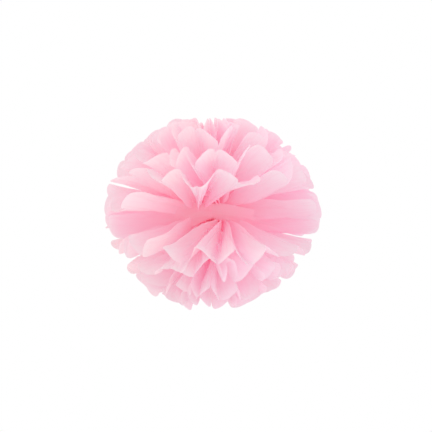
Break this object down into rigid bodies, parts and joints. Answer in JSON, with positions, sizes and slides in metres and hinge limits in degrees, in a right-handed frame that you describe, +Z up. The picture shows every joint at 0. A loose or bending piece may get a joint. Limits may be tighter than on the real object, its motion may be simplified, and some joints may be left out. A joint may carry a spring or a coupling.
{
  "type": "tissue paper pom pom",
  "caption": "Round hanging decoration of pleated tissue paper sheets, tied together round the middle and pulled apart so that their round-cut ends stand as petals all over a ball.",
  "frame": {"origin": "centre of the tie, which is the centre of the ball", "axes": "+Z up, along the line in which the sheets are pulled apart; +X along the length of the flat sheets; +Y along the gathered middle, towards the twisted wire ends, so the picture looks along +Y"},
  "size_m": [0.2502, 0.2616, 0.2306],
  "materials": {
    "tissue": "matte, thin and translucent",
    "wire": "bright drawn wire"
  },
  "bodies": {
    "root": {"upper_sheet_1": "tissue", "upper_sheet_2": "tissue", "upper_sheet_3": "tissue", "upper_sheet_4": "tissue", "upper_sheet_5": "tissue", "lower_sheet_1": "tissue", "lower_sheet_2": "tissue", "lower_sheet_3": "tissue", "lower_sheet_4": "tissue", "lower_sheet_5": "tissue", "tie_wire": "wire"}
  },
  "joints": []
}
